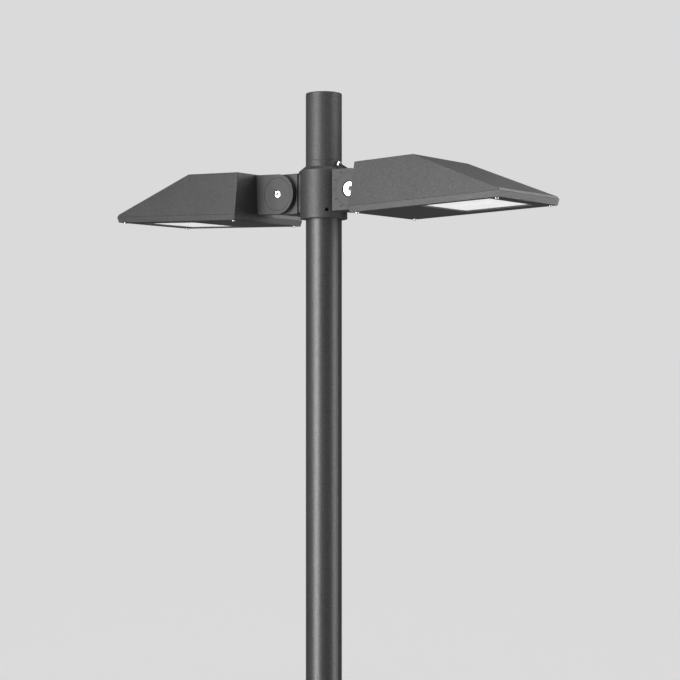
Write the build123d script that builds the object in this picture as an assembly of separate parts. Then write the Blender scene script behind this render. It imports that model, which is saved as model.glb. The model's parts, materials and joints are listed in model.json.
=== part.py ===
"""Twin-head LED area floodlight on the upper section of a round steel mast.

Units are millimetres.  The mast axis is Z and the origin is the centre of the mast
section's cut lower end.  The two heads point along +X (head a) and -X (head b); head b
and its bracket are head a and its bracket turned half a turn about the mast.
"""

from build123d import *
from math import atan2, degrees, radians, sqrt, tan
import os

os.makedirs("parts", exist_ok=True)

# ---------------------------------------------------------------- driving dimensions
# Mast section
MAST_D = 76.0
MAST_WALL = 3.2
PIVOT_Z = 1041.0            # height of the tilt pivots above the cut end
MAST_ABOVE_PIVOT = 33.0     # how far the mast's top end reaches above the pivots

# Pole-top collar, a casting that slips over the mast
SLIP = 0.05                 # radial running clearance of the collar on the mast
COLLAR_D = 99.2
COLLAR_BELOW = 55.4         # collar's lower edge, below the pivots
COLLAR_ABOVE = 45.7         # foot of the sloping shoulder, above the pivots
SHOULDER_H = 7.5
NECK_H = 12.8
SHELF_T = 6.0               # inner shelf that carries the collar on the mast's end
SEAT_T = 2.0                # nylon seat ring between the mast's end and the shelf
CABLE_HOLE_D = 36.0
PAD_W = 44.0                # flat pads that the brackets are screwed to
PAD_PROUD = 1.3             # pad faces, beyond the collar's own surface
PAD_INSET = 2.5             # pads stop short of the bracket's upper and lower faces
COLLAR_CHAMFER = 0.8
SET_SCREW_DROP = 38.9       # clamping screws, below the pivots
SET_SCREW_R = 4.0
SET_SCREW_SINK = 2.2        # depth of a clamping screw's end below the collar's surface
CABLE_BORE_WALL = 4.0       # wall left inside the spigot

# Tie rod that holds the cap, anchored in a bridge across the neck
TIE_R = 4.0
BRIDGE_W, BRIDGE_H = 16.0, 8.0
BRIDGE_GAP = 3.0            # free end of the bridge, inside the tube's bore

# Shoulder lugs with their clamping screws
LUG_SLOPE = 30.0            # slope of a lug's face, in degrees
LUG_HALF_W = 9.0
LUG_OUT = 60.0              # outer end, from the mast axis
LUG_DROP = 5.6              # where the slope meets the neck, below the neck's top
LUG_CLEAR = 0.8             # gap between a lug and the bracket below it
LUG_SCREW_OUT = 4.6         # clamping screws, outwards from the neck's surface
LUG_SCREW_Y = -4.0
LUG_SEAT_R, LUG_SEAT_DEPTH = 6.2, 2.0
LUG_HEAD_R, LUG_HEAD_PROUD = 4.6, 5.5
LUG_SHANK_R, LUG_SHANK_L = 2.5, 11.0

# Screws from the collar's bore into the brackets
BRACKET_SCREW_Y, BRACKET_SCREW_Z = 15.0, 27.0
BRACKET_SCREW_R, BRACKET_HEAD_R = 3.0, 4.6
BRACKET_HEAD_H = 3.6
BRACKET_HEAD_SINK = 0.3     # end of the head, below the surface of the collar's bore
BRACKET_SCREW_GRIP = 13.0   # screw length inside the bracket

# Tube above the collar
SEAM = 0.8                  # sealed joint between the neck and the top tube
TUBE_WALL = 3.0
TUBE_TOP = 204.2            # top tube's upper end, above the pivots
CAP_T = 4.6
CAP_FILLET = 1.6
SPIGOT_H = 11.0
CAP_SPIGOT_H = 9.0
CAP_SPIGOT_GAP = 0.1
CAP_RECESS_R, CAP_RECESS_H = 10.0, 3.2
CAP_NUT_R, CAP_NUT_H = 6.5, 2.8
ORING_SECTION = 3.0
ORING_DROP = 6.0            # lower edge of the seal's groove, below the tube's top
SEAL_SET_IN = 0.9
SURGE_SIZE = (22.0, 40.0, 70.0)
SURGE_UP = 20.0             # surge protector's lower end, above the spigot
SURGE_CLIP = (25.0, 45.0)   # lower and upper end of its clip on the tie rod

# Tilt brackets
PAD_GAP = 0.1               # paint between a pad and its bracket
PIVOT_OUT = 44.0            # pivots, outwards from the bracket's mounting face
BRACKET_H = 85.0
BRACKET_OUT = 39.0          # outer face, from the mast's middle plane
BRACKET_IN = 26.0           # mating face, on the other side of the middle plane
HUB_R, POCKET_R, POCKET_DEPTH = 16.0, 33.0, 45.0
WASHER_POCKET_R, WASHER_POCKET_T = 17.5, 2.5
SCALE_R, SCALE_MINOR, SCALE_MAJOR = 33.0, 2.6, 4.2
SCALE_STEP = 7.5            # degrees between two marks of the tilt scale
SCALE_LINE, SCALE_DEPTH = 0.7, 0.5
SCALE_MAJOR_EVERY = 4
INDEX_R, INDEX_DEPTH = 1.5, 0.8
INDEX_AT = (3.0, 2.5)       # index dot, from the bracket's start and above the pivot
BRACKET_FILLET = 0.9

# Head, measured from the pivot: u outwards, v sideways, w upwards, all when level
HEAD_BACK = 52.8            # u of the rear edge of the parting line
HEAD_NOSE = 401.1           # u of the front edge of the parting line
HEAD_HALF_W = 114.5         # half width at the parting line
ROOF_BACK, ROOF_FRONT = 59.6, 201.2
ROOF_HALF_W = 100.0
ROOF_W = 43.7
NOSE_U, NOSE_W = 397.5, -40.6
PARTING_W = -45.7
PARTING_GAP = 0.5
UNDER_W = -58.4             # flat underside of the cover frame
UNDER_BACK, UNDER_NOSE, UNDER_HALF_W = 55.4, 397.6, 112.0
HOUSING_WALL = 4.0
HOUSING_FILLET = 1.6
MOUTH_WALL = 4.6            # thinner wall round the housing's open underside
MOUTH_NOSE = 8.5
MOUTH_H = 4.2
REST_TILT = 1.85            # nose-up angle of both heads as set up, in degrees

# Window in the cover frame
WIN_U0, WIN_U1 = 212.0, 370.0
WIN_V0, WIN_V1 = -98.0, 68.0
FLOOR_T = 2.5
GASKET_T = 0.5
GLASS_T = 5.0
GLASS_LAP = 6.0             # glass beyond the window opening on each side
WIN_CORNER = 4.0
RIM_WALL = 4.0
RIM_FILLET = 1.0
RETAINER_T = 3.0
RETAINER_BAR = 8.0
RETAINER_GAP = 0.3          # between the glass's ends and the retainer's bars
RING_OVERHANG = 1.0         # gasket and retainer stop short of the opening by this
SEAL_IN, SEAL_W = 1.1, 2.2  # parting gasket: set-in from the outside, and width

# LED module, hung from the housing roof
LENS_T, BOARD_T, SPREADER_T = 3.6, 1.6, 4.0
MODULE_W = -46.8            # underside of the lens panel
MODULE_LAP = 2.0
LENS_PITCH = 18.0
LENS_MARGIN = 10.0
LED_R, LED_HALF = 2.2, 1.7
LED_H = 0.9
CUP_CLEAR, CUP_H = 1.0, 1.4
BOARD_SET_IN = 0.5
RIB_H, RIB_T, RIB_PITCH = 8.0, 2.0, 12.0
RIB_START, RIB_LENGTH, RIB_MARGIN = 20.0, 100.0, 22.0
BOSS_R = 5.0
BOSS_INSET = 6.0
BOSS_NOSE_INSET = 8.0
THREAD_R = 1.5
THREAD_L = 8.0

# Driver compartment
TRAY_W, TRAY_T = 0.0, 1.6
TRAY_U0, TRAY_U1, TRAY_HALF_V = 72.0, 198.0, 88.0
TRAY_BOSS_R, TRAY_BOSS_INSET = 4.5, 7.0
TRAY_HEAD_R, TRAY_HEAD_H = 3.2, 2.2
TRAY_SCREW_GRIP = 7.0       # screw length inside a boss
DRIVER_SIZE = (106.0, 66.0, 32.0)
DRIVER_AT = (12.0, 18.0)    # driver's corner, from the tray's corner
TERMINAL_SIZE = (40.0, 32.0, 20.0)
TERMINAL_AT = (20.0, 118.0)
WIRE_R, WIRE_DEPTH = 2.4, 9.0

# Arm and pivot hardware
FRICTION_T = 1.5
MATE_GAP = 0.06             # running gap between the friction disc and the bracket
ARM_ROOT_U = 45.4           # rear face of the arm's root block, from the pivot
ARM_ROOT_HALF_H = 25.0
ARM_ROOT_LAP = 2.0          # root block's reach into the side plate
ARM_FILLET = 1.2
DISC_FILLET = 0.3
FRICTION_SET_IN = 1.2
HUB_CLEAR = 4.0             # friction disc's bore round the pivot screw
DISC_R, DISC_T, DISC_GROOVE = 35.0, 2.0, 0.5
SCREW_RECESS_R = 9.3
PIVOT_HEAD_R, PIVOT_HEAD_H = 8.0, 5.2
PIVOT_HEAD_SINK = 1.0
PIVOT_HEX, PIVOT_HEX_DEPTH = 7.0, 3.6
PIVOT_SHANK_R = 4.0
PIVOT_CLEAR = 0.05
WASHER_R, WASHER_T = 14.9, 2.3
NUT_R, NUT_H = 6.5, 10.6
NUT_CROWN = 4.0             # closed end of the cap nut
ARM_SCREW_V, ARM_SCREW_W = 28.0, 15.0
ARM_SCREW_R, ARM_HEAD_R, ARM_HEAD_H = 3.0, 5.0, 4.0
ARM_SCREW_GAP = 1.4         # from a screw's end to the root block's rear face
ARM_PLATE_T = 4.0
ARM_PLATE_LAP = (10.0, 9.0) # plate beyond its screws, sideways and upwards
ENTRY_R = 8.0               # cable entry through the arm's root

# Cover screws, one in each corner of the cover frame
COVER_SCREW_INSET = 10.0
COVER_HEAD_R, COVER_HEAD_H = 4.0, 2.4
COVER_HEAD_FILLET = 1.4
COVER_SHANK_R = 2.5
COVER_SHANK_UP = 5.0        # hole's reach above the parting line
POST_R = 7.0
POST_H = 26.0

# ---------------------------------------------------------------- derived sizes
MAST_R = MAST_D / 2
MAST_TOP = PIVOT_Z + MAST_ABOVE_PIVOT
COLLAR_R = COLLAR_D / 2
BORE_R = MAST_R + SLIP
PAD_X = COLLAR_R + PAD_PROUD
PAD_H = BRACKET_H - 2 * PAD_INSET
BRACKET_START = PAD_X + PAD_GAP
PIVOT_X = BRACKET_START + PIVOT_OUT
LUG_SCREW_X = MAST_R + LUG_SCREW_OUT
SHELF_Z = MAST_TOP + SEAT_T
SHOULDER_Z = PIVOT_Z + COLLAR_ABOVE
NECK_Z = SHOULDER_Z + SHOULDER_H
NECK_TOP = NECK_Z + NECK_H
TUBE_Z0 = NECK_TOP + SEAM
TUBE_Z1 = PIVOT_Z + TUBE_TOP
TUBE_BORE_R = MAST_R - TUBE_WALL
CAP_TOP = TUBE_Z1 + CAP_T
HALF_H = BRACKET_H / 2
ARM_IN = BRACKET_IN + MATE_GAP + FRICTION_T
ARM_OUT = BRACKET_OUT
ROOF_SLOPE = (ROOF_W - NOSE_W) / (NOSE_U - ROOF_FRONT)
LEAN = degrees(atan2(ROOF_BACK - HEAD_BACK, ROOF_W - PARTING_W))
FLOOR_W = UNDER_W + FLOOR_T
GLASS_W = FLOOR_W + GASKET_T
RETAINER_W = GLASS_W + GLASS_T
BOARD_W = MODULE_W + LENS_T
SPREADER_W = BOARD_W + BOARD_T
SPREADER_TOP = SPREADER_W + SPREADER_T
BRIDGE_Z = SHELF_Z + SHELF_T
BORE_X = sqrt(BORE_R**2 - (BRACKET_SCREW_Y - BRACKET_HEAD_R) ** 2)
BRACKET_HEAD_X0 = BORE_X + BRACKET_HEAD_SINK
BRACKET_HEAD_X1 = BRACKET_HEAD_X0 + BRACKET_HEAD_H
BRACKET_SCREW_END = BRACKET_START + BRACKET_SCREW_GRIP
CAP_SPIGOT_R = TUBE_BORE_R - CAP_SPIGOT_GAP
ORING_Z = TUBE_Z1 - ORING_DROP
ARM_SCREW_IN = HEAD_BACK - ARM_ROOT_U
PIVOT_HEAD_Y = ARM_OUT - PIVOT_HEAD_SINK - PIVOT_HEAD_H
NUT_Y = WASHER_POCKET_T - BRACKET_OUT - MATE_GAP
POST_EDGE = UNDER_HALF_W - COVER_SCREW_INSET - POST_R


# ---------------------------------------------------------------- small helpers
def block(x0, x1, y0, y1, z0, z1):
    """Box between two corners."""
    centre = Pos((x0 + x1) / 2, (y0 + y1) / 2, (z0 + z1) / 2)
    return centre * Box(x1 - x0, y1 - y0, z1 - z0)


def rod_z(r, z0, z1, x=0.0, y=0.0):
    """Cylinder along Z."""
    return Pos(x, y, (z0 + z1) / 2) * Cylinder(r, z1 - z0)


def rod_x(r, x0, x1, y=0.0, z=0.0):
    """Cylinder along X."""
    return Pos((x0 + x1) / 2, y, z) * Rot(0, 90, 0) * Cylinder(r, x1 - x0)


def rod_y(r, y0, y1, x=0.0, z=0.0):
    """Cylinder along Y."""
    return Pos(x, (y0 + y1) / 2, z) * Rot(90, 0, 0) * Cylinder(r, y1 - y0)


def ring_z(r_out, r_in, z0, z1):
    """Plain ring about the mast axis."""
    return rod_z(r_out, z0, z1) - rod_z(r_in, z0 - 1, z1 + 1)


def side_prism(points, y0, y1):
    """Outline in the XZ plane, swept from y0 to y1."""
    face = make_face(Polyline(points, close=True))
    return extrude(Plane.XZ.offset(-y1) * face, amount=y1 - y0)


def front_prism(points, x0, x1):
    """Outline in the YZ plane, swept from x0 to x1."""
    face = make_face(Polyline(points, close=True))
    return extrude(Plane.YZ.offset(x0) * face, amount=x1 - x0)


def hex_socket(across_flats, depth):
    """Hexagonal socket that opens at z = 0 and goes down."""
    hexagon = RegularPolygon(across_flats / 2, 6, major_radius=False)
    return extrude(hexagon, amount=-depth)


def save(name, *solids):
    """Write one named piece, or one group of identical pieces."""
    whole = solids[0] if len(solids) == 1 else Compound(children=list(solids))
    export_step(whole, f"parts/{name}.step")


# ---------------------------------------------------------------- mast and collar
def mast():
    return ring_z(MAST_R, MAST_R - MAST_WALL, 0, MAST_TOP)


def lug_surface_z(x):
    """Height of the lug's sloping face at distance x from the mast axis."""
    return NECK_TOP - LUG_DROP - (x - MAST_R) * tan(radians(LUG_SLOPE))


def lug_frame():
    """Frame on the lug's slope, with its Z axis square to the slope."""
    return Pos(LUG_SCREW_X, LUG_SCREW_Y, lug_surface_z(LUG_SCREW_X)) * Rot(0, LUG_SLOPE, 0)


def shoulder_lugs():
    """Black lugs that slope from the neck out over the brackets, under their screws."""
    low = PIVOT_Z + HALF_H + LUG_CLEAR
    outline = [
        (TUBE_BORE_R, low),
        (LUG_OUT, low),
        (LUG_OUT, lug_surface_z(LUG_OUT)),
        (TUBE_BORE_R, lug_surface_z(TUBE_BORE_R)),
    ]
    lug = side_prism(outline, -LUG_HALF_W, LUG_HALF_W) - collar_form()
    seat = rod_z(LUG_SEAT_R, -LUG_SEAT_DEPTH, LUG_HEAD_PROUD)
    lug -= lug_frame() * (seat + rod_z(LUG_SHANK_R, -LUG_SHANK_L, 0))
    return half_turns(lug)


def half_turns(shape):
    """The shape and its copy half a turn about the mast."""
    return [shape, Rot(0, 0, 180) * shape]


def bracket_screw(y, z):
    """Screw driven outwards from the collar's bore into a bracket."""
    head = rod_x(BRACKET_HEAD_R, BRACKET_HEAD_X0, BRACKET_HEAD_X1, y, PIVOT_Z + z)
    shank = rod_x(BRACKET_SCREW_R, BRACKET_HEAD_X1, BRACKET_SCREW_END, y, PIVOT_Z + z)
    socket_at = Pos(BRACKET_HEAD_X0, y, PIVOT_Z + z) * Rot(0, -90, 0)
    return head + shank - socket_at * hex_socket(4.0, 2.0)


def bracket_screws():
    pattern = [
        bracket_screw(y, z)
        for y in (-BRACKET_SCREW_Y, BRACKET_SCREW_Y)
        for z in (-BRACKET_SCREW_Z, BRACKET_SCREW_Z)
    ]
    return [copy for screw in pattern for copy in half_turns(screw)]


def set_screw_holes(length, r):
    """Radial rods through the collar's wall at the four clamping screws."""
    rod = rod_x(r, COLLAR_R - length, COLLAR_R + 2, 0, PIVOT_Z - SET_SCREW_DROP)
    return [Rot(0, 0, 45 + 90 * i) * rod for i in range(4)]


def collar_form():
    """Outer form of the collar's round body, shoulder and neck."""
    body = rod_z(COLLAR_R, PIVOT_Z - COLLAR_BELOW, SHOULDER_Z)
    body = chamfer(body.edges().sort_by(Axis.Z)[0], COLLAR_CHAMFER)
    body += Pos(0, 0, SHOULDER_Z + SHOULDER_H / 2) * Cone(COLLAR_R, MAST_R, SHOULDER_H)
    return body + rod_z(MAST_R, NECK_Z, NECK_TOP)


def collar():
    body = collar_form() + rod_z(TUBE_BORE_R - SLIP, NECK_TOP, NECK_TOP + SPIGOT_H)
    pad = block(BORE_R, PAD_X, -PAD_W / 2, PAD_W / 2, PIVOT_Z - PAD_H / 2, PIVOT_Z + PAD_H / 2)
    for piece in half_turns(pad):
        body += piece
    body -= rod_z(BORE_R, PIVOT_Z - COLLAR_BELOW - 1, SHELF_Z)
    body -= rod_z(CABLE_HOLE_D / 2, SHELF_Z - 1, SHELF_Z + SHELF_T)
    body -= rod_z(TUBE_BORE_R - CABLE_BORE_WALL, BRIDGE_Z, NECK_TOP + SPIGOT_H + 1)
    body += tie_bridge()
    for hole in set_screw_holes(COLLAR_R - BORE_R + 1, SET_SCREW_R):
        body -= hole
    for y in (-BRACKET_SCREW_Y, BRACKET_SCREW_Y):
        for z in (-BRACKET_SCREW_Z, BRACKET_SCREW_Z):
            sink = rod_x(BRACKET_HEAD_R, MAST_R / 2, BRACKET_HEAD_X1, y, PIVOT_Z + z)
            hole = rod_x(BRACKET_SCREW_R, MAST_R / 2, PAD_X + 1, y, PIVOT_Z + z)
            for cut in half_turns(sink) + half_turns(hole):
                body -= cut
    for cut in half_turns(lug_frame() * rod_z(LUG_SHANK_R, -LUG_SHANK_L, 0)):
        body -= cut
    return body


def tie_bridge():
    """Bar across the neck that anchors the tie rod, clear of the cable hole's sides."""
    reach = TUBE_BORE_R - BRIDGE_GAP
    bar = block(-reach, reach, -BRIDGE_W / 2, BRIDGE_W / 2, BRIDGE_Z, BRIDGE_Z + BRIDGE_H)
    return bar - rod_z(TIE_R, BRIDGE_Z - 1, BRIDGE_Z + BRIDGE_H + 1)


def lug_screws():
    """Socket screws in the two shoulder lugs."""
    head = rod_z(LUG_HEAD_R, -LUG_SEAT_DEPTH, LUG_HEAD_PROUD)
    head = chamfer(head.edges().sort_by(Axis.Z)[-1], 0.5)
    screw = head + rod_z(LUG_SHANK_R, -LUG_SHANK_L, -LUG_SEAT_DEPTH)
    screw -= Pos(0, 0, LUG_HEAD_PROUD) * hex_socket(4.0, 3.0)
    return half_turns(lug_frame() * screw)


def set_screws():
    """Clamping screws, sunk below the collar's surface, that press on the mast."""
    x1 = COLLAR_R - SET_SCREW_SINK
    z = PIVOT_Z - SET_SCREW_DROP
    screw = rod_x(SET_SCREW_R, BORE_R, x1, 0, z)
    screw -= Pos(x1, 0, z) * Rot(0, 90, 0) * hex_socket(4.0, 4.0)
    return [Rot(0, 0, 45 + 90 * i) * screw for i in range(4)]


def seat_ring():
    return ring_z(MAST_R - 0.2, CABLE_HOLE_D / 2 + 2, MAST_TOP + SLIP, SHELF_Z)


def neck_seal():
    return ring_z(MAST_R - SEAL_SET_IN, TUBE_BORE_R - SLIP, NECK_TOP, TUBE_Z0)


def top_tube():
    return ring_z(MAST_R, TUBE_BORE_R, TUBE_Z0, TUBE_Z1)


def top_cap():
    disc = rod_z(MAST_R, TUBE_Z1, CAP_TOP)
    disc = fillet(disc.edges().sort_by(Axis.Z)[-1], CAP_FILLET)
    spigot = rod_z(CAP_SPIGOT_R, TUBE_Z1 - CAP_SPIGOT_H, TUBE_Z1)
    groove = ring_z(CAP_SPIGOT_R + 1, CAP_SPIGOT_R - ORING_SECTION, ORING_Z, ORING_Z + ORING_SECTION)
    cap = disc + spigot - groove - rod_z(CAP_RECESS_R, CAP_TOP - CAP_RECESS_H, CAP_TOP + 1)
    return cap - rod_z(TIE_R, TUBE_Z1 - CAP_SPIGOT_H - 1, CAP_TOP)


def cap_seal():
    return ring_z(TUBE_BORE_R, CAP_SPIGOT_R - ORING_SECTION, ORING_Z, ORING_Z + ORING_SECTION)


def tie_rod():
    return rod_z(TIE_R, BRIDGE_Z, CAP_TOP - CAP_RECESS_H + CAP_NUT_H - 0.4)


def cap_nut():
    hexagon = RegularPolygon(CAP_NUT_R, 6, major_radius=False)
    nut = extrude(hexagon, amount=CAP_NUT_H)
    return Pos(0, 0, CAP_TOP - CAP_RECESS_H) * nut - rod_z(TIE_R, TUBE_Z1, CAP_TOP)


def surge_module():
    """Surge protector, clipped to the tie rod inside the top tube."""
    sx, sy, sz = SURGE_SIZE
    z0 = NECK_TOP + SPIGOT_H + SURGE_UP
    box = block(TIE_R, TIE_R + sx, -sy / 2, sy / 2, z0, z0 + sz)
    box = fillet(box.edges().filter_by(Axis.Z), 2.0)
    clip_z0, clip_z1 = (z0 + z for z in SURGE_CLIP)
    clip = block(-TIE_R - 2, TIE_R, -TIE_R - 2, TIE_R + 2, clip_z0, clip_z1)
    return box + clip - rod_z(TIE_R, z0 - 1, z0 + sz + 1)


# ---------------------------------------------------------------- tilt brackets
def bracket():
    """Bracket of head a; its outer face, with the tilt scale, is on the -Y side."""
    low, high = PIVOT_Z - HALF_H, PIVOT_Z + HALF_H
    straight = block(BRACKET_START, PIVOT_X, -BRACKET_OUT, BRACKET_IN, low, high)
    nose = rod_y(HALF_H, -BRACKET_OUT, BRACKET_IN, PIVOT_X, PIVOT_Z)
    body = straight + nose
    body = fillet(body.edges().filter_by(Axis.Z), BRACKET_FILLET)
    outer = rod_y(POCKET_R, BRACKET_IN - POCKET_DEPTH, BRACKET_IN + 1, PIVOT_X, PIVOT_Z)
    hub = rod_y(HUB_R, BRACKET_IN - POCKET_DEPTH - 1, BRACKET_IN + 2, PIVOT_X, PIVOT_Z)
    wall = block(BRACKET_START, BRACKET_SCREW_END + 4, -BRACKET_H, BRACKET_H, low, high)
    body -= outer - hub - wall
    body -= rod_y(WASHER_POCKET_R, -BRACKET_OUT - 1, WASHER_POCKET_T - BRACKET_OUT, PIVOT_X, PIVOT_Z)
    body -= rod_y(PIVOT_SHANK_R + PIVOT_CLEAR, -BRACKET_H, BRACKET_H, PIVOT_X, PIVOT_Z)
    for y in (-BRACKET_SCREW_Y, BRACKET_SCREW_Y):
        for z in (-BRACKET_SCREW_Z, BRACKET_SCREW_Z):
            body -= rod_x(BRACKET_SCREW_R, BRACKET_START - 1, BRACKET_SCREW_END, y, PIVOT_Z + z)
    for mark in scale_marks():
        body -= mark
    dot_x, dot_z = BRACKET_START + INDEX_AT[0], PIVOT_Z + INDEX_AT[1]
    return body - rod_y(INDEX_R, BRACKET_IN - INDEX_DEPTH, BRACKET_IN + 1, dot_x, dot_z)


def scale_marks():
    """Engraved marks of the tilt scale: half a circle on the mast's side of the pivot."""
    marks = []
    count = int(180 / SCALE_STEP)
    for i in range(count + 1):
        angle = 90 + i * SCALE_STEP
        length = SCALE_MAJOR if i % SCALE_MAJOR_EVERY == 0 else SCALE_MINOR
        half = SCALE_LINE / 2
        mark = block(SCALE_R, SCALE_R + length, -SCALE_DEPTH, SCALE_DEPTH, -half, half)
        at = Pos(PIVOT_X, -BRACKET_OUT, PIVOT_Z) * Rot(0, -angle, 0)
        marks.append(at * mark)
    return marks


# ---------------------------------------------------------------- head: housing shell
def housing_outline():
    return [
        (HEAD_BACK, PARTING_W),
        (ROOF_BACK, ROOF_W),
        (ROOF_FRONT, ROOF_W),
        (NOSE_U, NOSE_W),
        (HEAD_NOSE, PARTING_W),
    ]


def housing_section():
    return [
        (-HEAD_HALF_W, PARTING_W),
        (HEAD_HALF_W, PARTING_W),
        (ROOF_HALF_W, ROOF_W),
        (-ROOF_HALF_W, ROOF_W),
    ]


def housing_outer():
    """Faceted outer form: side outline crossed with the drafted front section."""
    sides = side_prism(housing_outline(), -HEAD_HALF_W, HEAD_HALF_W)
    return sides & front_prism(housing_section(), HEAD_BACK - 1, HEAD_NOSE + 1)


def housing_inner():
    """The outer form moved in by the wall, and opened at the parting line."""
    side = make_face(Polyline(housing_outline(), close=True))
    side = offset(side, amount=-HOUSING_WALL, kind=Kind.INTERSECTION)
    section = make_face(Polyline(housing_section(), close=True))
    section = offset(section, amount=-HOUSING_WALL, kind=Kind.INTERSECTION)
    sides = extrude(Plane.XZ.offset(-HEAD_HALF_W) * side, amount=2 * HEAD_HALF_W)
    fronts = extrude(Plane.YZ * section, amount=HEAD_NOSE + 1)
    mouth = block(
        HEAD_BACK + MOUTH_WALL, HEAD_NOSE - MOUTH_NOSE,
        MOUTH_WALL - HEAD_HALF_W, HEAD_HALF_W - MOUTH_WALL,
        PARTING_W - 1, PARTING_W + MOUTH_H,
    )
    return (sides & fronts) + mouth


def roof_under(u):
    """Height of the housing's inner roof surface at u."""
    drop = max(0.0, u - ROOF_FRONT) * ROOF_SLOPE
    return ROOF_W - drop


MODULE_BOSSES = [
    (u, v)
    for u in (WIN_U0 + BOSS_INSET, WIN_U1 - BOSS_NOSE_INSET)
    for v in (WIN_V0 + BOSS_INSET, WIN_V1 - BOSS_INSET)
]
TRAY_BOSSES = [
    (u, v)
    for u in (TRAY_U0 + TRAY_BOSS_INSET, TRAY_U1 - TRAY_BOSS_INSET)
    for v in (TRAY_BOSS_INSET - TRAY_HALF_V, TRAY_HALF_V - TRAY_BOSS_INSET)
]


def cover_screw_places():
    return [
        (u, v)
        for u in (UNDER_BACK + COVER_SCREW_INSET, UNDER_NOSE - COVER_SCREW_INSET)
        for v in (COVER_SCREW_INSET - UNDER_HALF_W, UNDER_HALF_W - COVER_SCREW_INSET)
    ]


def wall_frame():
    """Frame on the housing's leaning rear wall: x inwards, z up along the wall."""
    u = HEAD_BACK + (0 - PARTING_W) * (ROOF_BACK - HEAD_BACK) / (ROOF_W - PARTING_W)
    return Pos(u, 0, 0) * Rot(0, LEAN, 0)


def arm_screw_places():
    return [(v, w) for v in (-ARM_SCREW_V, ARM_SCREW_V) for w in (-ARM_SCREW_W, ARM_SCREW_W)]


def housing():
    outer = housing_outer()
    sharp = outer.edges().filter_by(lambda edge: edge.center().Z > PARTING_W + 0.5)
    shell = fillet(sharp, HOUSING_FILLET) - housing_inner()
    solid = housing_outer()
    for u, v in MODULE_BOSSES:
        shell += solid & rod_z(BOSS_R, SPREADER_TOP, roof_under(u) - 1.5, u, v)
        shell -= rod_z(THREAD_R, SPREADER_TOP - 1, SPREADER_TOP + THREAD_L, u, v)
    for u, v in TRAY_BOSSES:
        shell += solid & rod_z(TRAY_BOSS_R, TRAY_W + TRAY_T, ROOF_W - 1.5, u, v)
        shell -= rod_z(THREAD_R, TRAY_W, TRAY_W + TRAY_T + TRAY_SCREW_GRIP + 2, u, v)
    for u, v in cover_screw_places():
        top = min(roof_under(u) - 2.0, PARTING_W + POST_H)
        shell += solid & rod_z(POST_R, PARTING_W, top, u, v)
        shell -= rod_z(COVER_SHANK_R, PARTING_W - 1, PARTING_W + COVER_SHANK_UP, u, v)
    for v, w in arm_screw_places():
        shell -= wall_frame() * rod_x(ARM_SCREW_R, -3, HOUSING_WALL + 2, v, w)
    return shell - wall_frame() * rod_x(ENTRY_R, -3, HOUSING_WALL + 2)


# ---------------------------------------------------------------- head: cover and window
def cover_frame():
    """Shallow tray that closes the housing, with the window opening in its floor."""
    top = PARTING_W - PARTING_GAP
    outline = [(HEAD_BACK, top), (HEAD_NOSE, top), (UNDER_NOSE, UNDER_W), (UNDER_BACK, UNDER_W)]
    section = [
        (-HEAD_HALF_W, top),
        (HEAD_HALF_W, top),
        (UNDER_HALF_W, UNDER_W),
        (-UNDER_HALF_W, UNDER_W),
    ]
    body = side_prism(outline, -HEAD_HALF_W, HEAD_HALF_W) & front_prism(section, 0, HEAD_NOSE + 1)
    under = body.edges().filter_by(lambda edge: edge.center().Z < UNDER_W + 0.1)
    body = fillet(under, RIM_FILLET)
    body -= block(
        UNDER_BACK + RIM_WALL, UNDER_NOSE - RIM_WALL,
        RIM_WALL - UNDER_HALF_W, UNDER_HALF_W - RIM_WALL, FLOOR_W, top + 1,
    )
    for u, v in cover_screw_places():
        body += rod_z(POST_R, FLOOR_W - 1, top, u, v) & block(
            UNDER_BACK + 1, UNDER_NOSE - 1, 1 - UNDER_HALF_W, UNDER_HALF_W - 1, FLOOR_W - 1, top
        )
        body -= rod_z(COVER_SHANK_R, UNDER_W - 1, top + 1, u, v)
    opening = block(WIN_U0, WIN_U1, WIN_V0, WIN_V1, UNDER_W - 1, FLOOR_W + 1)
    return body - fillet(opening.edges().filter_by(Axis.Z), WIN_CORNER)


def window_ring(outside, inside, w0, w1):
    """Rectangular ring around the window; both laps are measured from the opening."""
    outer = block(
        WIN_U0 - outside, WIN_U1 + outside, WIN_V0 - outside, WIN_V1 + outside, w0, w1
    )
    inner = block(
        WIN_U0 - inside, WIN_U1 + inside, WIN_V0 - inside, WIN_V1 + inside, w0 - 1, w1 + 1
    )
    return outer - inner


def window_gasket():
    return window_ring(GLASS_LAP, RING_OVERHANG, FLOOR_W, GLASS_W)


def window_glass():
    pane = block(
        WIN_U0 - GLASS_LAP, WIN_U1 + GLASS_LAP, WIN_V0 - GLASS_LAP, WIN_V1 + GLASS_LAP,
        GLASS_W, RETAINER_W,
    )
    return fillet(pane.edges().filter_by(Axis.Z), 2.0)


def glass_retainer():
    """Flat ring on the glass, with a bar at each end that stands on the floor."""
    top = RETAINER_W + RETAINER_T
    body = window_ring(GLASS_LAP, RING_OVERHANG, RETAINER_W, top)
    reach = POST_EDGE - 1.0
    v0, v1 = max(WIN_V0 - GLASS_LAP, -reach), min(WIN_V1 + GLASS_LAP, reach)
    edge = GLASS_LAP + RETAINER_GAP
    body += block(WIN_U0 - edge - RETAINER_BAR, WIN_U0 - edge, v0, v1, FLOOR_W, top)
    body += block(WIN_U1 + edge, WIN_U1 + edge + RETAINER_BAR, v0, v1, FLOOR_W, top)
    body += block(WIN_U0 - edge - 1, WIN_U0 - GLASS_LAP + 1, v0, v1, RETAINER_W, top)
    body += block(WIN_U1 + GLASS_LAP - 1, WIN_U1 + edge + 1, v0, v1, RETAINER_W, top)
    return body


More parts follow.
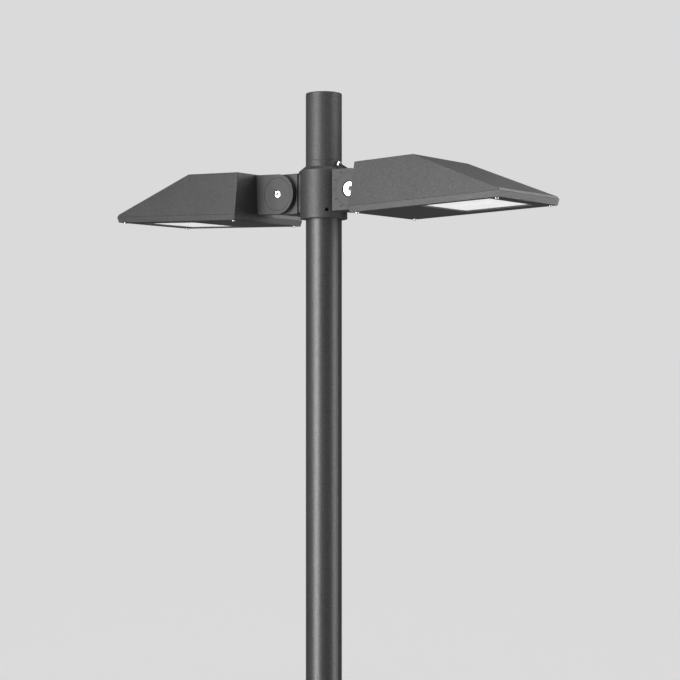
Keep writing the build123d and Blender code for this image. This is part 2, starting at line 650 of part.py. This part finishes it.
def frame_gasket():
    """Flat gasket that fills the parting gap, set in from the outside."""
    w0, w1 = PARTING_W - PARTING_GAP, PARTING_W

    def inset(d, low, high):
        return block(HEAD_BACK + d, HEAD_NOSE - d, d - HEAD_HALF_W, HEAD_HALF_W - d, low, high)

    return inset(SEAL_IN, w0, w1) - inset(SEAL_IN + SEAL_W, w0 - 1, w1 + 1)


def cover_screws():
    """Domed socket screws in the four corners of the underside."""
    screws = []
    for u, v in cover_screw_places():
        head = rod_z(COVER_HEAD_R, UNDER_W - COVER_HEAD_H, UNDER_W, u, v)
        head = fillet(head.edges().sort_by(Axis.Z)[0], COVER_HEAD_FILLET)
        shank = rod_z(COVER_SHANK_R, UNDER_W, PARTING_W + COVER_SHANK_UP - 1, u, v)
        socket = Pos(u, v, UNDER_W - COVER_HEAD_H) * Rot(180, 0, 0) * hex_socket(3.0, 1.6)
        screws.append(head + shank - socket)
    return screws


# ---------------------------------------------------------------- head: LED module
def module_plate(w0, w1, lap):
    return block(WIN_U0 - lap, WIN_U1 + lap, WIN_V0 - lap, WIN_V1 + lap, w0, w1)


def lens_places():
    """Grid of lenses over the window."""
    columns = int((WIN_U1 - WIN_U0 - LENS_MARGIN) // LENS_PITCH)
    rows = int((WIN_V1 - WIN_V0 - LENS_MARGIN) // LENS_PITCH)
    mid_u, mid_v = (WIN_U0 + WIN_U1) / 2, (WIN_V0 + WIN_V1) / 2
    return [
        (mid_u + (i - (columns - 1) / 2) * LENS_PITCH, mid_v + (j - (rows - 1) / 2) * LENS_PITCH)
        for i in range(columns)
        for j in range(rows)
    ]


def lens_panel():
    """Moulded optic with one recess over each LED."""
    panel = module_plate(MODULE_W, BOARD_W, MODULE_LAP)
    cup_r = LED_R + CUP_CLEAR
    cups = [rod_z(cup_r, BOARD_W - CUP_H, BOARD_W + 1, u, v) for u, v in lens_places()]
    return panel - Compound(children=cups)


def led_board():
    """Board with one LED package under each lens."""
    board = module_plate(BOARD_W, SPREADER_W, MODULE_LAP - BOARD_SET_IN)
    led = block(-LED_HALF, LED_HALF, -LED_HALF, LED_HALF, BOARD_W - LED_H, BOARD_W + BOARD_T / 2)
    for u, v in lens_places():
        board += Pos(u, v, 0) * led
    return board


def heat_spreader():
    plate = module_plate(SPREADER_W, SPREADER_TOP, MODULE_LAP)
    for u, v in MODULE_BOSSES:
        plate -= rod_z(THREAD_R, SPREADER_W - 1, SPREADER_TOP + 1, u, v)
    u0 = WIN_U0 + RIB_START
    rib = block(u0, u0 + RIB_LENGTH, -RIB_T / 2, RIB_T / 2, SPREADER_TOP, SPREADER_TOP + RIB_H)
    count = int((WIN_V1 - WIN_V0 - 2 * RIB_MARGIN) // RIB_PITCH) + 1
    for i in range(count):
        plate += Pos(0, WIN_V0 + RIB_MARGIN + i * RIB_PITCH, 0) * rib
    return plate


def tray_screws():
    """Pan-head screws that hold the driver tray to the housing's bosses."""
    screws = []
    for u, v in TRAY_BOSSES:
        head = rod_z(TRAY_HEAD_R, TRAY_W - TRAY_HEAD_H, TRAY_W, u, v)
        end = TRAY_W + TRAY_T + TRAY_SCREW_GRIP
        screws.append(head + rod_z(THREAD_R, TRAY_W, end, u, v))
    return screws


def driver_tray():
    tray = block(TRAY_U0, TRAY_U1, -TRAY_HALF_V, TRAY_HALF_V, TRAY_W, TRAY_W + TRAY_T)
    for u, v in TRAY_BOSSES:
        tray -= rod_z(THREAD_R, TRAY_W - 1, TRAY_W + TRAY_T + 1, u, v)
    return tray


def driver():
    """LED driver, fixed under the tray."""
    du, dv, dw = DRIVER_SIZE
    u0, v0 = TRAY_U0 + DRIVER_AT[0], DRIVER_AT[1] - TRAY_HALF_V
    body = block(u0, u0 + du, v0, v0 + dv, TRAY_W - dw, TRAY_W)
    return fillet(body.edges().filter_by(Axis.X), 2.0)


def mains_terminal():
    """Lever terminal block beside the driver, with its wire openings."""
    tu, tv, tw = TERMINAL_SIZE
    u0, v0 = TRAY_U0 + TERMINAL_AT[0], TERMINAL_AT[1] - TRAY_HALF_V
    body = block(u0, u0 + tu, v0, v0 + tv, TRAY_W - tw, TRAY_W)
    pitch = tv / 4
    for i in range(3):
        body -= rod_x(WIRE_R, u0 - 1, u0 + WIRE_DEPTH, v0 + pitch * (i + 1), TRAY_W - tw / 2)
    return body


# ---------------------------------------------------------------- arm and pivot hardware
def arm():
    """Knuckle disc, side plate and root block of head a, measured from its pivot."""
    end = 2 * ROOF_BACK - HEAD_BACK
    body = block(0, end, ARM_IN, ARM_OUT, -HALF_H, HALF_H) + rod_y(HALF_H, ARM_IN, ARM_OUT)
    rim = body.edges().filter_by(lambda edge: edge.center().Y > ARM_OUT - 0.1)
    rim = rim.filter_by(lambda edge: edge.center().X < ROOF_BACK)
    body = fillet(rim, ARM_FILLET)
    half_h = ARM_ROOT_HALF_H
    body += block(ARM_ROOT_U, end, -ARM_OUT, ARM_IN + ARM_ROOT_LAP, -half_h, half_h)
    body -= rod_y(DISC_R + DISC_GROOVE, ARM_OUT - DISC_T, ARM_OUT + 1)
    body -= rod_y(SCREW_RECESS_R, PIVOT_HEAD_Y, ARM_OUT + 1)
    body -= rod_y(PIVOT_SHANK_R, 0, ARM_OUT)
    for v, w in arm_screw_places():
        body -= wall_frame() * rod_x(ARM_SCREW_R, -ARM_SCREW_IN, end, v, w)
    body -= wall_frame() * rod_x(ENTRY_R, -HEAD_BACK, end)
    return body - wall_frame() * block(0, end, -BRACKET_H, BRACKET_H, -BRACKET_H, BRACKET_H)


def arm_disc():
    """Round cover disc let into the knuckle's outer face."""
    disc = rod_y(DISC_R, ARM_OUT - DISC_T, ARM_OUT)
    edges = disc.edges().filter_by(lambda edge: edge.center().Y > ARM_OUT - 0.1)
    return fillet(edges, DISC_FILLET) - rod_y(SCREW_RECESS_R, ARM_IN, ARM_OUT + 1)


def friction_disc():
    disc = rod_y(HALF_H - FRICTION_SET_IN, BRACKET_IN + MATE_GAP, ARM_IN)
    return disc - rod_y(PIVOT_SHANK_R + HUB_CLEAR, 0, ARM_OUT)


def pivot_screw():
    """Socket-head pivot screw, from the knuckle through the bracket to its cap nut."""
    top = PIVOT_HEAD_Y + PIVOT_HEAD_H
    head = rod_y(PIVOT_HEAD_R, PIVOT_HEAD_Y, top)
    head = chamfer(head.edges().sort_by(Axis.Y)[-1], 0.8)
    end = NUT_Y - WASHER_T - NUT_H + NUT_CROWN + 2 * MATE_GAP
    screw = head + rod_y(PIVOT_SHANK_R, end, PIVOT_HEAD_Y)
    return screw - Pos(0, top, 0) * Rot(-90, 0, 0) * hex_socket(PIVOT_HEX, PIVOT_HEX_DEPTH)


def pivot_washer():
    washer = rod_y(WASHER_R, NUT_Y - WASHER_T, NUT_Y)
    washer = chamfer(washer.edges().sort_by(Axis.Y)[0], 0.4)
    return washer - rod_y(PIVOT_SHANK_R, NUT_Y - WASHER_T - 1, 0)


def pivot_nut():
    """Plain round cap nut that stands out of the bracket's outer face."""
    y0 = NUT_Y - WASHER_T
    nut = rod_y(NUT_R, y0 - NUT_H, y0)
    nut = fillet(nut.edges().sort_by(Axis.Y)[0], 1.0)
    return nut - rod_y(PIVOT_SHANK_R, y0 - NUT_H + NUT_CROWN, y0 + 1)


def arm_plate():
    """Backing plate inside the housing, behind the arm's root."""
    half_v, half_w = ARM_SCREW_V + ARM_PLATE_LAP[0], ARM_SCREW_W + ARM_PLATE_LAP[1]
    top = HOUSING_WALL + ARM_PLATE_T
    plate = block(HOUSING_WALL, top, -half_v, half_v, -half_w, half_w)
    for v, w in arm_screw_places():
        plate -= rod_x(ARM_SCREW_R, 0, top + 1, v, w)
    return wall_frame() * (plate - rod_x(ENTRY_R, 0, top + 1))


def arm_screws():
    screws = []
    for v, w in arm_screw_places():
        x1 = HOUSING_WALL + ARM_PLATE_T
        head = rod_x(ARM_HEAD_R, x1, x1 + ARM_HEAD_H, v, w)
        shank = rod_x(ARM_SCREW_R, ARM_SCREW_GAP - ARM_SCREW_IN, x1, v, w)
        socket = Pos(x1 + ARM_HEAD_H, v, w) * Rot(0, 90, 0) * hex_socket(5.0, 2.4)
        screws.append(wall_frame() * (head + shank - socket))
    return screws


# ---------------------------------------------------------------- write every piece
save("mast", mast())
save("collar", collar())
save("seat_ring", seat_ring())
save("collar_set_screws", *set_screws())
save("shoulder_lugs", *shoulder_lugs())
save("shoulder_screws", *lug_screws())
save("bracket_screws", *bracket_screws())
save("neck_seal", neck_seal())
save("top_tube", top_tube())
save("top_cap", top_cap())
save("cap_seal", cap_seal())
save("tie_rod", tie_rod())
save("cap_nut", cap_nut())
save("surge_module", surge_module())

bracket_a = bracket()
save("bracket_a", bracket_a)
save("bracket_b", Rot(0, 0, 180) * bracket_a)

HEAD_PIECES = {
    "housing": [housing()],
    "arm": [arm()],
    "arm_disc": [arm_disc()],
    "arm_plate": [arm_plate()],
    "arm_screws": arm_screws(),
    "friction_disc": [friction_disc()],
    "pivot_screw": [pivot_screw()],
    "pivot_washer": [pivot_washer()],
    "pivot_nut": [pivot_nut()],
    "cover_frame": [cover_frame()],
    "frame_gasket": [frame_gasket()],
    "cover_screws": cover_screws(),
    "window_gasket": [window_gasket()],
    "window_glass": [window_glass()],
    "glass_retainer": [glass_retainer()],
    "lens_panel": [lens_panel()],
    "led_board": [led_board()],
    "heat_spreader": [heat_spreader()],
    "driver_tray": [driver_tray()],
    "tray_screws": tray_screws(),
    "driver": [driver()],
    "mains_terminal": [mains_terminal()],
}
PLACE_A = Pos(PIVOT_X, 0, PIVOT_Z) * Rot(0, -REST_TILT, 0)
for suffix, turn in (("a", 0), ("b", 180)):
    for name, solids in HEAD_PIECES.items():
        placed = [Rot(0, 0, turn) * PLACE_A * solid for solid in solids]
        save(f"{name}_{suffix}", *placed)
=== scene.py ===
"""Studio picture of the twin-head floodlight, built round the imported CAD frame.

Lengths are metres, angles degrees.  Azimuth 0 looks along +Y with +X to the right.
"""
import json
import math

import bmesh
import bpy
from mathutils import Matrix, Vector


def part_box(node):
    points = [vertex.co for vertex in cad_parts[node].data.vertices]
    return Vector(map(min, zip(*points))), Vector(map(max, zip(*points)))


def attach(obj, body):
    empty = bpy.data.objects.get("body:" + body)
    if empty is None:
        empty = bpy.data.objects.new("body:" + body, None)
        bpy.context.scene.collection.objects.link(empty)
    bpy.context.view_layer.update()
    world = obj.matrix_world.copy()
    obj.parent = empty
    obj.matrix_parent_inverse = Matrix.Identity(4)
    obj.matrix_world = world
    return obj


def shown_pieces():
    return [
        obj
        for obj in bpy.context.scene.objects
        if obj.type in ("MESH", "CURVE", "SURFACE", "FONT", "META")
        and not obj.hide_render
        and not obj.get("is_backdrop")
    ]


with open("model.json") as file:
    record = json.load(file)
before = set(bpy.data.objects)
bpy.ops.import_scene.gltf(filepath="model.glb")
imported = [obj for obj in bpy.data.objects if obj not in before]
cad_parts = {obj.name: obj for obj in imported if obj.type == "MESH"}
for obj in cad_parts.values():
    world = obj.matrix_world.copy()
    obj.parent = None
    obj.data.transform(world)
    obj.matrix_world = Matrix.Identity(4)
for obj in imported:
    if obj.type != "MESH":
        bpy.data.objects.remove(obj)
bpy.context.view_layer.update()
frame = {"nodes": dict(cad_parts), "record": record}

# ---------------------------------------------------------------- studio settings
VIEW_AZIMUTH = 37.04        # camera's azimuth round the mast
VIEW_RIGHT = 0.034          # camera's sideways distance from the mast's middle plane
VIEW_DISTANCE = 3.1737      # camera's distance from the mast axis, along its view
VIEW_DROP = 0.3187          # camera's height below the tilt pivots
VIEW_LENS = 79.80
VIEW_SHIFT_Y = 0.0065

BACKDROP = 0.7012           # linear grey of floor and backdrop in the picture
AMBIENT = 0.12              # the room's light on the object
FLOOR_ALBEDO = 0.80
FLOOR_SIZE = 160.0
FLOOR_MOTTLE = 0.01         # share by which the floor's tone wanders
SENSOR_WIDTH = 36.0         # millimetres, as Blender's camera has it
CLIP_END = 400.0

# name, azimuth, distance, height, (width, height of the box), radiance, height aimed at
SOFT_BOXES = (
    ("key_strip", -10, 2.5, 0.5, (1.2, 3.6), 11.2, 0.5),
    ("glint_box", -37, 2.6, 1.15, (0.30, 0.50), 14.0, 1.04),
    ("fill_strip", 111, 2.6, 0.6, (1.2, 3.6), 4.8, 0.6),
    ("back_box", 150, 2.0, 2.7, (1.6, 1.2), 4.5, 1.0),
    ("top_box", 37, 0.6, 3.2, (2.2, 2.2), 3.0, 1.1),
)
NOSE_BOX = ("nose_box", 146, 2.6, 1.3, (1.1, 1.1), 7.5, 1.05)
NOSE_BOX_LIGHTS = ("housing", "cover_frame")    # starts of the names of what it lights


def joint_origin(name):
    """Place of a joint's axis, from the record."""
    joint = next(j for j in frame["record"]["behaviour"]["joints"] if j["name"] == name)
    return Vector(joint["pos_m"])


# ---------------------------------------------------------------- node helpers
class Nodes:
    """Short way to build a material's node tree."""

    def __init__(self, name):
        self.material = bpy.data.materials.new(name)
        self.material.use_nodes = True
        self.tree = self.material.node_tree
        self.shader = self.tree.nodes["Principled BSDF"]
        self.place = self.add("ShaderNodeTexCoord").outputs["Object"]

    def add(self, kind, **values):
        node = self.tree.nodes.new(kind)
        for key, value in values.items():
            setattr(node, key, value)
        return node

    def link(self, a, b):
        self.tree.links.new(a, b)

    def noise(self, scale, detail=2.0, roughness=0.5, stretch=None):
        """Noise of about 1/scale metres; stretch scales the axes."""
        node = self.add("ShaderNodeTexNoise")
        node.inputs["Scale"].default_value = scale
        node.inputs["Detail"].default_value = detail
        node.inputs["Roughness"].default_value = roughness
        source = self.place
        if stretch:
            mapping = self.add("ShaderNodeMapping")
            mapping.inputs["Scale"].default_value = stretch
            self.link(source, mapping.inputs["Vector"])
            source = mapping.outputs["Vector"]
        self.link(source, node.inputs["Vector"])
        return node.outputs["Fac"]

    def cells(self, scale):
        node = self.add("ShaderNodeTexVoronoi", feature="F1")
        node.inputs["Scale"].default_value = scale
        self.link(self.place, node.inputs["Vector"])
        return node

    def ramp(self, source, low, high, a=0.0, b=1.0):
        """Maps source from low..high onto a..b."""
        node = self.add("ShaderNodeMapRange")
        node.inputs["From Min"].default_value = low
        node.inputs["From Max"].default_value = high
        node.inputs["To Min"].default_value = a
        node.inputs["To Max"].default_value = b
        self.link(source, node.inputs["Value"])
        return node.outputs["Result"]

    def math(self, operation, a, b):
        node = self.add("ShaderNodeMath", operation=operation)
        for socket, value in zip(node.inputs, (a, b)):
            if isinstance(value, float):
                socket.default_value = value
            else:
                self.link(value, socket)
        return node.outputs["Value"]

    def tint(self, source, dark, light):
        """Colour between dark and light by a 0..1 source."""
        node = self.add("ShaderNodeMix", data_type="RGBA")
        node.inputs["A"].default_value = (*dark, 1.0)
        node.inputs["B"].default_value = (*light, 1.0)
        self.link(source, node.inputs["Factor"])
        return node.outputs["Result"]

    def bump(self, height, depth, normal=None):
        node = self.add("ShaderNodeBump")
        node.inputs["Strength"].default_value = 1.0
        node.inputs["Distance"].default_value = depth
        self.link(height, node.inputs["Height"])
        if normal is not None:
            self.link(normal, node.inputs["Normal"])
        return node.outputs["Normal"]

    def drive(self, socket, output):
        """Feeds one of the shader's inputs from a node's output."""
        self.link(output, self.shader.inputs[socket])

    def blend(self, a, b, share):
        """Sum of two sources, with the given share of a and the rest of b."""
        rest = round(1.0 - share, 3)
        return self.math("ADD", self.math("MULTIPLY", a, share), self.math("MULTIPLY", b, rest))

    def greys(self, source, base, spread):
        """Grey that wanders about base by the share spread."""
        return self.tint(source, grey(base * (1 - spread)), grey(base * (1 + spread)))

    def wander(self, source, middle, reach):
        """Value that wanders about middle by reach, as the middle of a noise does."""
        return self.ramp(source, 0.3, 0.7, middle - reach, middle + reach)

    def set(self, **values):
        for key, value in values.items():
            self.shader.inputs[key.replace("_", " ")].default_value = value


def grey(value):
    return (value, value, value)


# ---------------------------------------------------------------- materials
def powder_coat(name, base, rough, specular, fine_depth, swell_depth, spread):
    """Fine-texture powder coat: a dense grain on a soft orange-peel swell."""
    n = Nodes(name)
    fine = n.noise(1500.0, 3.0, 0.6)
    swell = n.noise(330.0, 2.0, 0.5)
    speckle = n.noise(720.0, 2.0, 0.7)
    cloud = n.noise(9.0, 3.0, 0.5)
    shade = n.ramp(n.blend(speckle, cloud, 0.8), 0.38, 0.62)
    n.drive("Base Color", n.greys(shade, base, spread))
    n.drive("Roughness", n.wander(swell, rough, 0.05))
    n.drive("Normal", n.bump(fine, fine_depth, normal=n.bump(swell, swell_depth)))
    dull, bright = specular * (1 - spread), specular * (1 + spread)
    n.drive("Specular IOR Level", n.ramp(speckle, 0.35, 0.65, dull, bright))
    return n.material


def bright_metal(name, base, rough, streak, spread=0.08):
    """Turned or drawn metal with fine streaks along the stretch axis."""
    n = Nodes(name)
    lines = n.noise(260.0, 4.0, 0.6, stretch=streak)
    cloud = n.noise(60.0, 2.0)
    shade = n.ramp(n.blend(lines, cloud, 0.6), 0.35, 0.65)
    n.drive("Base Color", n.greys(shade, base, spread))
    n.drive("Roughness", n.wander(lines, rough, 0.07))
    n.drive("Normal", n.bump(lines, 0.00002))
    n.set(Metallic=1.0)
    return n.material


def spangled_zinc(name):
    """Hot-dip zinc with its crystal spangle."""
    n = Nodes(name)
    crystals = n.cells(130.0)
    fine = n.noise(700.0, 3.0)
    split = n.add("ShaderNodeSeparateColor")
    n.link(crystals.outputs["Color"], split.inputs["Color"])
    shade = n.blend(split.outputs["Red"], fine, 0.7)
    n.drive("Base Color", n.tint(shade, (0.34, 0.35, 0.36), (0.62, 0.63, 0.64)))
    n.drive("Roughness", n.ramp(split.outputs["Green"], 0.0, 1.0, 0.35, 0.55))
    n.drive("Normal", n.bump(fine, 0.00003))
    n.set(Metallic=0.9)
    return n.material


def moulded(name, dark, light, rough, specular=0.4):
    """Moulded plastic, rubber or matt paint with a fine skin."""
    n = Nodes(name)
    skin = n.noise(900.0, 3.0, 0.6)
    cloud = n.noise(35.0, 2.0)
    shade = n.blend(skin, cloud, 0.5)
    n.drive("Base Color", n.tint(n.ramp(shade, 0.35, 0.65), dark, light))
    n.drive("Roughness", n.wander(cloud, rough, 0.06))
    n.drive("Normal", n.bump(skin, 0.00003))
    n.set(Specular_IOR_Level=specular)
    return n.material


def lit_window(name, glow):
    """Satin white glass, faintly uneven, with a painted glow: its own emission makes the window
    bright.
    """
    n = Nodes(name)
    cloud = n.noise(30.0, 3.0, 0.6)
    frost = n.noise(900.0, 2.0)
    shade = n.ramp(cloud, 0.35, 0.65)
    n.drive("Base Color", n.tint(shade, grey(0.84), grey(0.90)))
    # painted glow: the glass's own emission, brighter and darker with the cloud noise
    n.drive("Emission Color", n.tint(shade, grey(0.88), grey(1.0)))
    n.drive("Roughness", n.ramp(frost, 0.3, 0.7, 0.12, 0.25))
    n.drive("Normal", n.bump(frost, 0.00001))
    n.set(Emission_Strength=glow, IOR=1.5)
    return n.material


def lit_optic(name, glow):
    """White lens panel with a painted glow: its own emission makes it bright, faintly uneven.
    """
    n = Nodes(name)
    cloud = n.noise(26.0, 3.0, 0.6)
    skin = n.noise(500.0, 2.0)
    shade = n.ramp(cloud, 0.35, 0.65)
    n.drive("Base Color", n.tint(shade, grey(0.80), grey(0.90)))
    # painted glow: the panel's own emission, brighter and darker with the cloud noise
    n.drive("Emission Color", n.tint(shade, grey(0.86), grey(1.0)))
    n.drive("Roughness", n.ramp(skin, 0.3, 0.7, 0.25, 0.4))
    n.drive("Normal", n.bump(skin, 0.00002))
    n.set(Emission_Strength=glow)
    return n.material


ALONG_Z = (1.0, 1.0, 0.05)      # stretches a noise into streaks along Z
FINISHES = {
    "graphite_powder_coat": powder_coat(
        "graphite_powder_coat", 0.026, 0.50, 0.5, 0.00006, 0.00010, 0.34),
    "graphite_mast_coat": powder_coat(
        "graphite_mast_coat", 0.021, 0.40, 0.62, 0.00005, 0.00012, 0.34),
    "stainless_steel": bright_metal("stainless_steel", 0.78, 0.24, ALONG_Z),
    # near-black base: real black steel on the set screws, and painted shade on the lugs at the
    # collar's shoulder, for the shade in the recess there
    "black_screw_steel": bright_metal("black_screw_steel", 0.022, 0.40, ALONG_Z, 0.2),
    "plain_aluminium": bright_metal("plain_aluminium", 0.62, 0.42, ALONG_Z),
    "galvanised_steel": spangled_zinc("galvanised_steel"),
    "mark_paint": moulded("mark_paint", grey(0.002), grey(0.004), 0.85, specular=0.08),
    "black_rubber": moulded("black_rubber", grey(0.012), grey(0.022), 0.7),
    # window glass with a painted glow in its own emission
    "opal_glass": lit_window("opal_glass", 0.50),
    # lens panel with a painted glow in its own emission
    "white_optic": lit_optic("white_optic", 0.62),
    "white_board": moulded("white_board", grey(0.70), grey(0.80), 0.5),
    "driver_case": moulded("driver_case", (0.55, 0.56, 0.57), (0.66, 0.67, 0.68), 0.45),
    "grey_nylon": moulded("grey_nylon", grey(0.20), grey(0.26), 0.5),
}


def dress(obj, finish):
    obj.data.materials.clear()
    obj.data.materials.append(FINISHES[finish])


for part in frame["record"]["subparts"]:
    dress(frame["nodes"][part["node"]], part["material_slot"])


# ---------------------------------------------------------------- tilt scale
MARK_START = 90             # degrees, the mark above the pivot
MARK_STEP = 7.5             # degrees
MARK_COUNT = 25
MARK_INNER = 0.0330         # inner end of a mark, from the pivot
MARK_SHORT, MARK_LONG = 0.0026, 0.0042
MARK_LONG_EVERY = 4
MARK_HALF = 0.00045         # half width, a little wider than the engraving below it
MARK_EASE = 0.0002          # length over which a mark's end narrows
MARK_END = 0.4              # share of the width at the very end
PAINT_FLOOR, PAINT_TOP = 0.00040, -0.00006      # below the bracket's face; minus is proud
NUMERAL_HEIGHT = 0.0030
CAP_SHARE = 0.7             # height of a numeral, as a share of the font's size
NUMERAL_RADIUS = 0.0402     # middle of a numeral, from the pivot
NUMERAL_RAISE = 0.00012
NUMERAL_AT = (-60, -30, 0, 30, 60)      # degrees from the middle mark


def numeral_mesh(text):
    """Flat raised numeral in the XY plane, centred on the origin."""
    curve = bpy.data.curves.new(f"numeral_{text}", "FONT")
    curve.body = text
    curve.size = NUMERAL_HEIGHT / CAP_SHARE
    curve.extrude = NUMERAL_RAISE
    curve.resolution_u = 3
    curve.align_x = "CENTER"
    curve.align_y = "CENTER"
    holder = bpy.data.objects.new("numeral_holder", curve)
    bpy.context.collection.objects.link(holder)
    bpy.context.view_layer.update()
    mesh = bpy.data.meshes.new_from_object(holder)
    bpy.data.objects.remove(holder)
    return mesh


def scale_frame(side, turn):
    """Frame on a bracket's outer face at its pivot: X away from the mast, Y into the metal."""
    low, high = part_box(f"bracket_{side}")
    pivot = joint_origin(f"tilt_{side}")
    face_y = low.y if side == "a" else high.y
    place = Matrix.Translation((pivot.x, face_y, pivot.z))
    return place @ Matrix.Rotation(math.radians(turn), 4, "Z")


def add_painted(name, mesh, body):
    """One painted piece of the scale, carried by a body."""
    piece = bpy.data.objects.new(name, mesh)
    bpy.context.collection.objects.link(piece)
    dress(piece, "mark_paint")
    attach(piece, body)


def add_paint(side, turn):
    """Dark paint over the engraved marks of one tilt scale, as one mesh with eased ends."""
    form = bmesh.new()
    for i in range(MARK_COUNT):
        angle = math.radians(MARK_START + i * MARK_STEP)
        length = MARK_LONG if i % MARK_LONG_EVERY == 0 else MARK_SHORT
        out = Vector((math.cos(angle), 0, math.sin(angle)))
        across = Vector((-math.sin(angle), 0, math.cos(angle)))
        ends = (
            (MARK_INNER, MARK_END),
            (MARK_INNER + MARK_EASE, 1.0),
            (MARK_INNER + length - MARK_EASE, 1.0),
            (MARK_INNER + length, MARK_END),
        )
        rows = []
        for depth in (PAINT_FLOOR, PAINT_TOP):
            right = [out * r + across * MARK_HALF * w for r, w in ends]
            left = [out * r - across * MARK_HALF * w for r, w in reversed(ends)]
            rows.append([form.verts.new(p + Vector((0, depth, 0))) for p in right + left])
        count = len(rows[0])
        form.faces.new(rows[0])
        form.faces.new(list(reversed(rows[1])))
        for j in range(count):
            k = (j + 1) % count
            form.faces.new((rows[0][k], rows[0][j], rows[1][j], rows[1][k]))
    form.transform(scale_frame(side, turn))
    bmesh.ops.recalc_face_normals(form, faces=form.faces)
    mesh = bpy.data.meshes.new(f"scale_paint_{side}")
    form.to_mesh(mesh)
    form.free()
    add_painted(f"scale_paint_{side}", mesh, "fitting")


def add_numerals(side, turn):
    """Numerals beside the tilt scale, 0 at the middle mark, on one bracket's outer face."""
    for index, degrees_up in enumerate(NUMERAL_AT):
        angle = math.radians(180 + degrees_up)
        x = NUMERAL_RADIUS * math.cos(angle)
        z = NUMERAL_RADIUS * math.sin(angle)
        mesh = numeral_mesh(str(abs(degrees_up)))
        upright = Matrix.Rotation(math.radians(90), 4, "X")
        mesh.transform(scale_frame(side, turn) @ Matrix.Translation((x, 0, z)) @ upright)
        add_painted(f"numeral_{side}_{index}", mesh, "fitting")


for bracket, half_turn in (("a", 0), ("b", 180)):
    add_paint(bracket, half_turn)
    add_numerals(bracket, half_turn)


# ---------------------------------------------------------------- studio
def direction(azimuth):
    """Level unit vector from the mast towards that azimuth."""
    a = math.radians(azimuth)
    return Vector((math.sin(a), -math.cos(a), 0.0))


def soft_light(name, azimuth, distance, height, size, radiance, aim_height):
    """Rectangular soft box that faces the mast axis at aim_height."""
    data = bpy.data.lights.new(name, "AREA")
    data.shape = "RECTANGLE"
    data.size, data.size_y = size
    data.energy = radiance * math.pi * size[0] * size[1]
    lamp = bpy.data.objects.new(name, data)
    lamp.location = direction(azimuth) * distance
    lamp.location.z = height
    aim = Vector((0, 0, aim_height)) - lamp.location
    lamp.rotation_euler = aim.to_track_quat("-Z", "Y").to_euler()
    bpy.context.collection.objects.link(lamp)
    return lamp


def add_floor():
    """Plain pale floor that meets the backdrop's tone."""
    mesh = bpy.data.meshes.new("floor")
    half = FLOOR_SIZE / 2
    corners = [(-half, -half, 0), (half, -half, 0), (half, half, 0), (-half, half, 0)]
    mesh.from_pydata(corners, [], [(0, 1, 2, 3)])
    floor = bpy.data.objects.new("floor", mesh)
    bpy.context.collection.objects.link(floor)
    n = Nodes("floor")
    mottle = n.noise(3.0, 2.0)
    n.drive("Base Color", n.greys(mottle, FLOOR_ALBEDO, FLOOR_MOTTLE))
    n.set(Roughness=0.9, Specular_IOR_Level=0.0, Emission_Color=(1, 1, 1, 1))
    n.set(Emission_Strength=BACKDROP - FLOOR_ALBEDO * AMBIENT)
    mesh.materials.append(n.material)
    floor.visible_diffuse = False
    floor.visible_glossy = False
    floor.visible_shadow = False
    floor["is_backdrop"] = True


def add_world():
    """Even room light; the picture's background has the floor's tone."""
    world = bpy.data.worlds.new("studio")
    bpy.context.scene.world = world
    world.use_nodes = True
    tree = world.node_tree
    back = tree.nodes["Background"]
    back.inputs["Color"].default_value = (1, 1, 1, 1)
    path = tree.nodes.new("ShaderNodeLightPath")
    level = tree.nodes.new("ShaderNodeMapRange")
    level.inputs["To Min"].default_value = AMBIENT
    level.inputs["To Max"].default_value = BACKDROP
    tree.links.new(path.outputs["Is Camera Ray"], level.inputs["Value"])
    tree.links.new(level.outputs["Result"], back.inputs["Strength"])


def add_camera(pivot_z):
    """Camera just below the heads, level, with its picture shifted upwards."""
    data = bpy.data.cameras.new("camera")
    data.lens = VIEW_LENS
    data.sensor_width = SENSOR_WIDTH
    data.shift_y = VIEW_SHIFT_Y
    data.clip_end = CLIP_END
    camera = bpy.data.objects.new("camera", data)
    a = math.radians(VIEW_AZIMUTH)
    right = Vector((math.cos(a), math.sin(a), 0))
    camera.location = direction(VIEW_AZIMUTH) * VIEW_DISTANCE + right * VIEW_RIGHT
    camera.location.z = pivot_z - VIEW_DROP
    camera.rotation_euler = (math.radians(90), 0, a)
    bpy.context.collection.objects.link(camera)
    bpy.context.scene.camera = camera


def add_boxes():
    """Soft boxes; they light the object's own pieces only, and the nose box only the heads."""
    lamps = [soft_light(*box) for box in SOFT_BOXES]
    nose_box = soft_light(*NOSE_BOX)
    lit = bpy.data.collections.new("lit_by_boxes")
    noses = bpy.data.collections.new("lit_by_nose_box")
    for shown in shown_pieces():
        lit.objects.link(shown)
        if shown.name.startswith(NOSE_BOX_LIGHTS):
            noses.objects.link(shown)
    for lamp in lamps:
        lamp.light_linking.receiver_collection = lit
    nose_box.light_linking.receiver_collection = noses


add_world()
add_floor()
add_boxes()
add_camera(joint_origin("tilt_a").z)
bpy.context.scene.view_settings.view_transform = "Standard"
